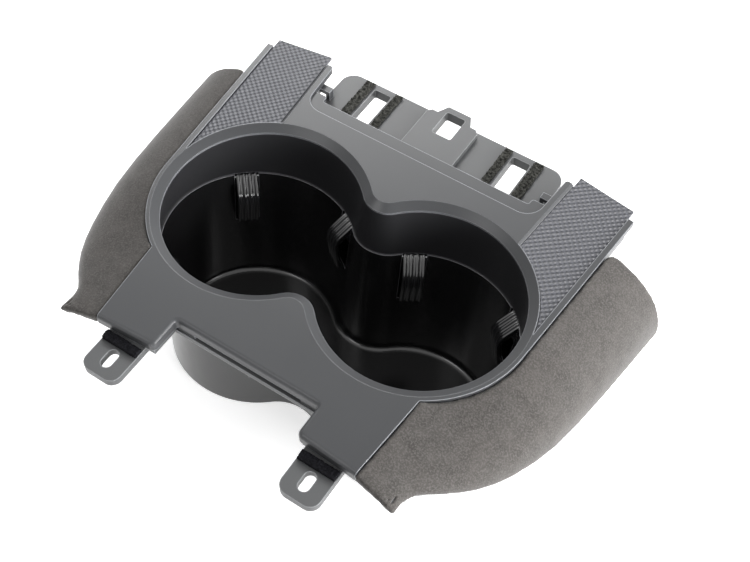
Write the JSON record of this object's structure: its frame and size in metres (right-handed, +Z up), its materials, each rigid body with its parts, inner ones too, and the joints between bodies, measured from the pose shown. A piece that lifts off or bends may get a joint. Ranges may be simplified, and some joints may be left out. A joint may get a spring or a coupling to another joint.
{
  "type": "twin cup holder for a car centre console",
  "caption": "Twin cup holder for a car's console: figure-of-eight tub with sprung grip fingers, grey trim plate and suede side panels.",
  "frame": {"origin": "on the flat bottom of the cups, midway between them", "axes": "+Z up along the cups' axes, +X to the right cup, +Y to the rear flange; the top panel rises 7.4 degrees to the rear"},
  "size_m": [0.232, 0.1842, 0.0947],
  "materials": {
    "trim_grey": "satin moulded plastic with a fine grain",
    "inlay_grey": "satin, embossed with a fine diamond weave",
    "cup_black": "smooth satin black",
    "carrier_grey": "satin moulded plastic",
    "core_black": "plain moulded plastic",
    "suede": "brushed artificial suede, mottled nap",
    "felt": "pressed felt strip",
    "foam": "open cell foam",
    "finger_black": "glossy black",
    "spring_steel": "bright spring strip",
    "pin_steel": "ground pin",
    "screw_steel": "black coated"
  },
  "bodies": {
    "holder": {"trim_plate": "trim_grey", "inlay_left": "inlay_grey", "inlay_right": "inlay_grey", "cup_collar": "cup_black", "cup_tub": "cup_black", "carrier_frame": "carrier_grey", "side_panel_core_left": "core_black", "side_panel_core_right": "core_black", "suede_cover_left": "suede", "suede_cover_right": "suede", "felt_strip_outer_left": "felt", "felt_strip_inner_left": "felt", "felt_strip_inner_right": "felt", "felt_strip_outer_right": "felt", "foam_pad_left": "foam", "foam_pad_right": "foam", "hinge_pins": "pin_steel", "trim_screws": "screw_steel", "finger_spring_left_rear_outer": "spring_steel", "finger_spring_left_rear_inner": "spring_steel", "finger_spring_left_front_outer": "spring_steel", "finger_spring_left_front_inner": "spring_steel", "finger_spring_right_rear_outer": "spring_steel", "finger_spring_right_rear_inner": "spring_steel", "finger_spring_right_front_outer": "spring_steel", "finger_spring_right_front_inner": "spring_steel"},
    "finger_left_rear_outer": {"grip_finger_left_rear_outer": "finger_black"},
    "finger_left_rear_inner": {"grip_finger_left_rear_inner": "finger_black"},
    "finger_left_front_outer": {"grip_finger_left_front_outer": "finger_black"},
    "finger_left_front_inner": {"grip_finger_left_front_inner": "finger_black"},
    "finger_right_rear_outer": {"grip_finger_right_rear_outer": "finger_black"},
    "finger_right_rear_inner": {"grip_finger_right_rear_inner": "finger_black"},
    "finger_right_front_outer": {"grip_finger_right_front_outer": "finger_black"},
    "finger_right_front_inner": {"grip_finger_right_front_inner": "finger_black"}
  },
  "joints": [
    {"name": "finger_left_rear_outer_hinge", "type": "hinge", "parent": "holder", "child": "finger_left_rear_outer", "pos_m": [-0.06826, 0.02963, 0.0599], "axis": [0.7157, 0.6984, 0], "range_deg": [0, 28], "stiffness_Nm_per_rad": 0.03, "springref_deg": -11.46, "deforming": ["finger_spring_left_rear_outer"]},
    {"name": "finger_left_rear_inner_hinge", "type": "hinge", "parent": "holder", "child": "finger_left_rear_inner", "pos_m": [-0.0159, 0.03412, 0.0599], "axis": [0.8241, -0.5664, 0], "range_deg": [0, 28], "stiffness_Nm_per_rad": 0.03, "springref_deg": -11.46, "deforming": ["finger_spring_left_rear_inner"]},
    {"name": "finger_left_front_outer_hinge", "type": "hinge", "parent": "holder", "child": "finger_left_front_outer", "pos_m": [-0.06596, -0.03171, 0.0599], "axis": [-0.766, 0.6428, 0], "range_deg": [0, 28], "stiffness_Nm_per_rad": 0.03, "springref_deg": -11.46, "deforming": ["finger_spring_left_front_outer"]},
    {"name": "finger_left_front_inner_hinge", "type": "hinge", "parent": "holder", "child": "finger_left_front_inner", "pos_m": [-0.01274, -0.03171, 0.0599], "axis": [-0.766, -0.6428, 0], "range_deg": [0, 28], "stiffness_Nm_per_rad": 0.03, "springref_deg": -11.46, "deforming": ["finger_spring_left_front_inner"]},
    {"name": "finger_right_rear_outer_hinge", "type": "hinge", "parent": "holder", "child": "finger_right_rear_outer", "pos_m": [0.06826, 0.02963, 0.0599], "axis": [0.7157, -0.6984, 0], "range_deg": [0, 28], "stiffness_Nm_per_rad": 0.03, "springref_deg": -11.46, "deforming": ["finger_spring_right_rear_outer"]},
    {"name": "finger_right_rear_inner_hinge", "type": "hinge", "parent": "holder", "child": "finger_right_rear_inner", "pos_m": [0.0159, 0.03412, 0.0599], "axis": [0.8241, 0.5664, 0], "range_deg": [0, 28], "stiffness_Nm_per_rad": 0.03, "springref_deg": -11.46, "deforming": ["finger_spring_right_rear_inner"]},
    {"name": "finger_right_front_outer_hinge", "type": "hinge", "parent": "holder", "child": "finger_right_front_outer", "pos_m": [0.06596, -0.03171, 0.0599], "axis": [-0.766, -0.6428, 0], "range_deg": [0, 28], "stiffness_Nm_per_rad": 0.03, "springref_deg": -11.46, "deforming": ["finger_spring_right_front_outer"]},
    {"name": "finger_right_front_inner_hinge", "type": "hinge", "parent": "holder", "child": "finger_right_front_inner", "pos_m": [0.01274, -0.03171, 0.0599], "axis": [-0.766, 0.6428, 0], "range_deg": [0, 28], "stiffness_Nm_per_rad": 0.03, "springref_deg": -11.46, "deforming": ["finger_spring_right_front_inner"]}
  ]
}
